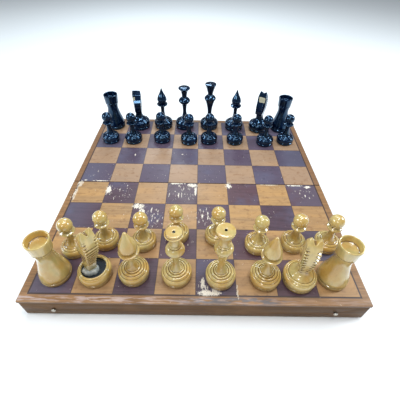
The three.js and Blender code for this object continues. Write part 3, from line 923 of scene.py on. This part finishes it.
def rook(colour, radius, height):
    outline = Outline().to((radius - 1.0, 0), (radius - 0.4, 0.7), (radius - 0.2, 4.8), (radius - 1.5, 5.7))
    outline.to((radius - 0.4, 6.7), (radius - 0.5, 8.4)).bend((radius - 1.8, 15), (radius - 4.6, 23), 8)
    outline.bend((10.4, 31.6), (9.5, 37.0), 8).bend((9.2, 43.0), (11.0, 48.6), 7)
    outline.groove(11.4, 49.6, 0.6, 1.2).bend((12.0, 57.0), (12.5, height - 1.2), 6)
    outline.to((12.1, height), (11.1, height), (10.6, height - 0.9))
    outline.bend((10.1, height - 5), (9.4, height - 7), 5)
    return outline.bend((9.0, height - 7.8), (0, height - 7.9), 6)


def knight_foot(radius):
    """The foot of a knight, with the socket that its head is glued into."""
    outline = Outline().to((radius - 1.4, 0), (radius - 0.8, 0.6), (radius - 0.5, 4.2))
    outline.to((radius - 1.5, 4.8), (radius - 1.5, 5.2), (radius - 0.4, 5.9))
    outline.bend((radius + 0.1, 8.0), (radius - 0.05, 10.6), 5)
    outline.bend((radius - 0.3, 13.6), (radius - 2.0, 14.9), 8)
    outline.to((radius - 2.6, 14.7), (radius - 3.1, 15.6))
    outline.bend((radius - 3.8, 16.5), (SOCKET + 0.2, 16.5), 3)
    return outline.to((SOCKET, 15.9), (SOCKET - 0.1, 10.2), (SOCKET - 0.8, 9.5), (0, 9.3))


def varnish(colour):
    """The finish of a colour's men and the slot it stands for."""
    if colour == "white":
        return made("varnished_pale_wood", pale_wood), "white_wood"
    return made("glossy_lacquer", black_lacquer), "black_lacquer"


# How far a man is turned about itself, in degrees for each letter of its name.
TWIST = 37


def turned_men(kind, shape, files=("",), bored=False):
    """Turns one man of a kind in each colour and stands copies of it on their squares."""
    for colour in ("white", "black"):
        material, slot = varnish(colour)
        first = f"{colour}_{kind}{files[0]}"
        master = turn("master", shape(colour, radius_of(first) / MM, height_of(first) / MM))
        smooth(master, 50)
        # The white crowns' pin holes are marked as a bore, which the pale wood paints dark as shade.
        mark_relief(master, bore=1.45 if bored and colour == "white" else 0, deep=6)
        for file in files:
            node = f"{colour}_{kind}{file}"
            stand(master, f"turned_{node}", node, node, material, middle(node), TWIST * len(node))
        discard(master)
    return {"FINISHED"}


class CHESS_OT_kings(bpy.types.Operator):
    """Two kings"""

    bl_idname = "chess.kings"
    bl_label = "Kings"

    def execute(self, context):
        return turned_men("king", king, bored=True)


class CHESS_OT_queens(bpy.types.Operator):
    """Two queens"""

    bl_idname = "chess.queens"
    bl_label = "Queens"

    def execute(self, context):
        return turned_men("queen", queen, bored=True)


class CHESS_OT_bishops(bpy.types.Operator):
    """Four bishops"""

    bl_idname = "chess.bishops"
    bl_label = "Bishops"

    def execute(self, context):
        return turned_men("bishop", bishop, ("_c", "_f"))


class CHESS_OT_rooks(bpy.types.Operator):
    """Four rooks"""

    bl_idname = "chess.rooks"
    bl_label = "Rooks"

    def execute(self, context):
        return turned_men("rook", rook, ("_a", "_h"))


class CHESS_OT_pawns(bpy.types.Operator):
    """Sixteen pawns"""

    bl_idname = "chess.pawns"
    bl_label = "Pawns"

    def execute(self, context):
        return turned_men("pawn", pawn, tuple(f"_{file}" for file in FILES))


def carved_head(height, deep, cleft, broken=False, worn=False):
    """A knight's head that looks towards +Y, sawn from three sides, with a filed mane, eyes and mouth."""
    seat = 9.5
    side = [
        (-5.4, seat), (-5.9, 24), (-6.8, 31), (-8.2, 38), (-8.9, 45), (-8.6, 53), (-6.9, 61),
        (-4.0, height - 8), (-1.6, height - 4), (1.2, height), (3.0, height - 4), (4.8, height - 7.4),
        (6.8, 65.0), (8.2, 60.4), (9.6, 57.6), (13.6, 54.2), (14.7, 50.6), (14.4, 43), (13.0, 37.4),
        (10.6, 35.0), (7.4, 34.4), (6.2, 31), (5.8, 26), (4.8, seat),
    ]
    half = [(4.8, seat), (4.9, 26), (5.5, 33), (7.0, 41), (7.8, 50), (8.0, 60), (7.4, 67), (6.2, height - 3)]
    half += [(4.8, height), (3.4, height - cleft * 0.3), (1.0, height - cleft * 0.9)]
    face = half + [(0, height - cleft)] + [(-across, up) for across, up in reversed(half)]
    plan = [(6.6, -12), (8.3, -9.8), (8.3, -1), (7.4, 5.4), (5.4, 14.6)]
    plan += [(-across, along) for across, along in reversed(plan)]
    head = move(prism("head", side, 30), spin_about("Z", 90))
    head = combine(head, prism("face", face, 40), "INTERSECT")
    head = combine(head, move(prism("plan", plan, 160), spin_about("X", -90)), "INTERSECT")
    tools = mane_cuts(height, deep, broken)
    for hand in (-1, 1):
        eye = turn("eye", Outline().to((1.1, 0.0), (1.1, 4.0), (0.0, 4.4)), 16)
        tools.append(move(eye, shift(hand * 4.9, 3.0, 63.0) @ spin_about("Y", hand * 90)))
        nostril = turn("nostril", Outline().to((0.7, 0.0), (0.7, 3.0), (0.0, 3.3)), 12)
        tools.append(move(nostril, shift(hand * 3.9, 11.8, 51.4) @ spin_about("Y", hand * 90)))
    mouth = prism("mouth", [(-4, 0.5), (3, 0.2), (3, -0.2), (-4, -0.5)], 30)
    tools.append(move(mouth, shift(0, 14.0, 47.4) @ spin_about("X", 14) @ spin_about("Z", 90)))
    for tool in tools:
        head = combine(head, tool, "DIFFERENCE")
    if worn:
        wedge = prism("wedge", [(-9, -3), (9, -1), (9, 9), (-9, 9)], 30)
        head = combine(head, move(wedge, shift(0, -5, height - 1.5) @ spin_about("X", -32)), "DIFFERENCE")
    if not broken:
        plug = Outline().to((SOCKET - 0.4, 0.0), (SOCKET - 0.3, 6.7))
        plug.bend((SOCKET - 1.6, 9.0), (9.4, 10.8), 6)
        plug.bend((5.9, 13.5), (5.2, 23.5), 8).to((0, 25))
        head = combine(head, move(turn("plug", plug), shift(0, 0, seat + 0.1)), "UNION")
    modify(head, "REMESH", mode="VOXEL", voxel_size=0.36 * MM)
    modify(head, "SMOOTH", factor=0.5, iterations=3)
    smooth(head, 60)
    mark_relief(head, 1)
    shade_and_soil_mane(head, height, broken)
    return head


# The filed mane: the height of its lowest cut and from one cut to the next, in millimetres, and how many.
MANE, PITCH, CUTS = 25.0, 4.1, 10


def mane(height, up):
    """How far back the mane is at a height and how wide the head is there, in millimetres."""
    back = np.interp(up, (24, 31, 38, 45, 53, 61, height - 8), (-5.9, -6.8, -8.2, -8.9, -8.6, -6.9, -4.0))
    return back, np.interp(up, (26, 41, 50, 60), (4.9, 7.0, 7.8, 8.0))


def mane_cuts(height, deep, broken):
    """Bars that file the mane: notches in both rear corners, and right across the back of a broken head."""
    cuts = []
    notch = [(-deep, 0.6), (0, 1.5), (deep, 0.6), (deep, -0.6), (0, -1.5), (-deep, -0.6)]
    for i in range(CUTS):
        up = MANE + PITCH * i
        back, wide = mane(height, up)
        if broken and up < 56:
            cuts.append(move(prism("cut", notch, 30), shift(0, back, up) @ spin_about("Z", 90)))
        for hand in (-1, 1):
            turned = spin_about("Z", -hand * 45) @ spin_about("X", -10)
            cuts.append(move(prism("cut", notch, 9), shift(hand * (wide - 0.4), back + 0.5, up) @ turned))
    return cuts


def shade_and_soil_mane(head, height, broken):
    """Darkens the mane's cuts, most near each cut's middle and fading over its walls: dirt together with
    painted shade.
    """
    mesh = head.data
    places = np.empty(len(mesh.vertices) * 3)
    mesh.vertices.foreach_get("co", places)
    x, y, z = places.reshape(-1, 3).T / MM
    back, wide = mane(height, z)
    off = np.abs((z - MANE + PITCH / 2) % PITCH - PITCH / 2)
    reach = (y - back < 2.6) & (z > MANE - 1) & (z < MANE + PITCH * CUTS)
    reach &= (np.abs(x) > wide - 2.8) | (broken & (z < 57))
    hollow = np.empty(len(mesh.vertices))
    layer = mesh.attributes["hollow"].data
    layer.foreach_get("value", hollow)
    # Dirt and painted shade, strongest at a cut's middle and fading out over its walls.
    dirt_and_shade = reach * np.clip(2.2 - off / 0.65, 0, 1) * 0.24
    layer.foreach_set("value", np.maximum(hollow, dirt_and_shade).astype(np.float32))


class CHESS_OT_knights(bpy.types.Operator):
    """Four knights: turned feet and carved heads, one of them broken and stuck off-centre with glue"""

    bl_idname = "chess.knights"
    bl_label = "Knights"

    # Which way each head looks, in degrees left of Black.
    LOOKS = {"white_knight_b": 50, "white_knight_g": -12, "black_knight_b": 190, "black_knight_g": 150}
    # How deep the mane is filed, in millimetres.
    CUT = {"white": 2.9, "black": 1.5, "broken": 2.2}
    # How high the ears' tips stand and how deep the cleft between them is, in millimetres.
    EARS = 76.5
    CLEFT = {"white": 7.0, "black": 3.8}
    # The broken head: how far it has come off its foot's middle, in millimetres, and its lean to the right.
    BROKEN, OFF, LEAN = "white_knight_b", (-6.7, 2.0, 2.4), 9.5
    LUMPS = 12  # lumps in the ring of glue round the broken head

    def execute(self, context):
        for colour in ("white", "black"):
            material, slot = varnish(colour)
            node = f"{colour}_knight_b_foot"
            base = turn("base", knight_foot(radius_of(node) / MM))
            smooth(base, 50)
            # The socket's inside is marked as a bore, which the pale wood paints dark as shade.
            mark_relief(base, bore=SOCKET - 0.02, deep=7.5)
            for file in "bg":
                man = f"{colour}_knight_{file}"
                at = middle(f"{man}_foot")
                at.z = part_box(f"{man}_foot")[0][2]
                stand(base, f"turned_{man}_foot", f"{man}_foot", man, material, at)
                broken = man == self.BROKEN
                deep = self.CUT["broken" if broken else colour]
                worn = man == "black_knight_b"
                head = carved_head(self.EARS, deep, self.CLEFT[colour], broken, worn)
                move(head, spin_about("Z", self.LOOKS[man]))
                if broken:
                    move(head, shift(*self.OFF) @ spin_about("Y", self.LEAN))
                stand(head, f"carved_{man}_head", f"{man}_head", man, material, at)
                discard(head)
            discard(base)
        self.glue()
        return {"FINISHED"}

    def glue(self):
        """A hardened puddle with lumps round the broken head."""
        at = middle(f"{self.BROKEN}_foot")
        lumps = []
        for i in range(self.LUMPS):
            turned = math.tau * i / self.LUMPS
            size = (3.1 + 0.5 * math.sin(i * 2.3)) * MM
            bpy.ops.mesh.primitive_uv_sphere_add(segments=16, ring_count=10, radius=size)
            lump = bpy.context.object
            reach = 5.4 + 0.8 * math.cos(i * 1.7)
            across, along = -4.6 + reach * math.cos(turned), 0.2 + reach * math.sin(turned)
            rise = 1.8 if along < -1 else 0.5
            stretched = Matrix.Diagonal((1.2, 1.0, 0.9 + 0.3 * rise, 1))
            lumps.append(move(lump, shift(across, along, rise) @ stretched))
        puddle = join(lumps)
        modify(puddle, "REMESH", mode="VOXEL", voxel_size=0.5 * MM)
        modify(puddle, "SMOOTH", factor=0.6, iterations=16)
        floor = prism("floor", [(-30, -20), (30, -20), (30, 0.15), (-30, 0.15)], 60)
        puddle = combine(puddle, floor, "DIFFERENCE")
        well = turn("well", Outline().to((SOCKET - 0.5, 0), (SOCKET - 0.4, 12), (0, 12)))
        puddle = combine(puddle, well, "INTERSECT")
        smooth(puddle, 60)
        puddle.name = "glue_lumps"
        move(puddle, Matrix.Translation(at + Vector((0, 0, 9.3 * MM))))
        settle(puddle, None, self.BROKEN, glue_lumps("hard_glue"))


# ---- the stage ----


class CHESS_OT_stage(bpy.types.Operator):
    """Pale floor, soft light and the camera"""

    bl_idname = "chess.stage"
    bl_label = "Stage"

    def execute(self, context):
        stage = context.scene.chess_stage
        deselect()
        bpy.ops.mesh.primitive_plane_add(size=8)
        floor = context.object
        floor.name = "floor"
        finish = Finish("pale_floor")
        colour = finish.mix(finish.noise((2, 2, 2)), tuple(stage.floor), darker(stage.floor, 0.97))
        finish.set(Base_Color=colour, Roughness=0.7)
        floor.data.materials.append(finish.material)
        self.lights()
        self.camera(stage)
        context.scene.view_settings.view_transform = "Standard"
        return {"FINISHED"}

    def lights(self):
        scene = bpy.context.scene
        world = bpy.data.worlds.new("room")
        world.use_nodes = True
        world.node_tree.nodes["Background"].inputs["Color"].default_value = (0.80, 0.90, 1.0, 1)
        world.node_tree.nodes["Background"].inputs["Strength"].default_value = 0.28
        scene.world = world
        # Name, place and size in metres, power in watts, and colour.
        lamps = (
            ("window_left", (-1.15, -0.15, 0.62), (0.40, 0.40), 6.5, (0.84, 0.94, 1.0)),
            ("window_right", (1.15, 0.10, 0.70), (0.30, 0.40), 8.5, (0.84, 0.94, 1.0)),
            ("window_rear", (-0.15, 1.15, 0.95), (0.50, 0.22), 8, (0.78, 0.92, 1.0)),
            ("ceiling", (0.15, -0.20, 1.5), (1.2, 0.20), 14, (0.97, 0.99, 1.0)),
            ("ceiling_rear", (-0.05, 0.42, 1.35), (0.60, 0.12), 4, (0.84, 0.94, 1.0)),
            ("front", (-0.45, -1.20, 0.90), (0.30, 0.25), 4.5, (1.0, 0.96, 0.90)),
        )
        for name, place, size, power, colour in lamps:
            data = bpy.data.lights.new(name, "AREA")
            data.shape = "RECTANGLE"
            data.size, data.size_y = size
            data.energy, data.color = power, colour
            lamp = bpy.data.objects.new(name, data)
            scene.collection.objects.link(lamp)
            lamp.location = place
            lamp.rotation_euler = (-Vector(place)).to_track_quat("-Z", "Y").to_euler()

    def camera(self, stage):
        scene = bpy.context.scene
        data = bpy.data.cameras.new("camera")
        data.sensor_width, data.lens = 36.0, stage.focal
        data.shift_y = -0.03
        camera = bpy.data.objects.new("camera", data)
        scene.collection.objects.link(camera)
        turned = (
            Matrix.Rotation(stage.yaw, 4, "Z") @ Matrix.Rotation(math.pi / 2 - stage.pitch, 4, "X")
            @ Matrix.Rotation(stage.roll, 4, "Z")
        )
        camera.matrix_world = Matrix.Translation(Vector(stage.place) + Vector((0, 0, SURFACE))) @ turned
        scene.camera = camera


class CHESS_PT_sidebar(bpy.types.Panel):
    """The set's settings and its pieces, in the sidebar"""

    bl_idname = "CHESS_PT_sidebar"
    bl_label = "Chess Set"
    bl_space_type = "VIEW_3D"
    bl_region_type = "UI"
    bl_category = "Chess Set"

    def draw(self, context):
        for group in (context.scene.chess_board, context.scene.chess_men, context.scene.chess_stage):
            for name in group.__annotations__:
                self.layout.prop(group, name)
        for step in STEPS:
            self.layout.operator(step.bl_idname)


STEPS = (
    CHESS_OT_stage, CHESS_OT_panels, CHESS_OT_rails, CHESS_OT_hinges, CHESS_OT_hooks, CHESS_OT_kings,
    CHESS_OT_queens, CHESS_OT_bishops, CHESS_OT_knights, CHESS_OT_rooks, CHESS_OT_pawns,
)
GROUPS = {"chess_board": BoardSettings, "chess_men": MenSettings, "chess_stage": StageSettings}


def register():
    for kind in (*GROUPS.values(), *STEPS, CHESS_PT_sidebar):
        bpy.utils.register_class(kind)
    for name, group in GROUPS.items():
        setattr(bpy.types.Scene, name, PointerProperty(type=group))


def unregister():
    for name in GROUPS:
        delattr(bpy.types.Scene, name)
    for kind in reversed((*GROUPS.values(), *STEPS, CHESS_PT_sidebar)):
        bpy.utils.unregister_class(kind)


def main():
    register()
    bpy.ops.chess.stage()
    bpy.ops.chess.panels()
    bpy.ops.chess.rails()
    bpy.ops.chess.hinges()
    bpy.ops.chess.hooks()
    bpy.ops.chess.kings()
    bpy.ops.chess.queens()
    bpy.ops.chess.bishops()
    bpy.ops.chess.knights()
    bpy.ops.chess.rooks()
    bpy.ops.chess.pawns()


if __name__ == "__main__":
    main()
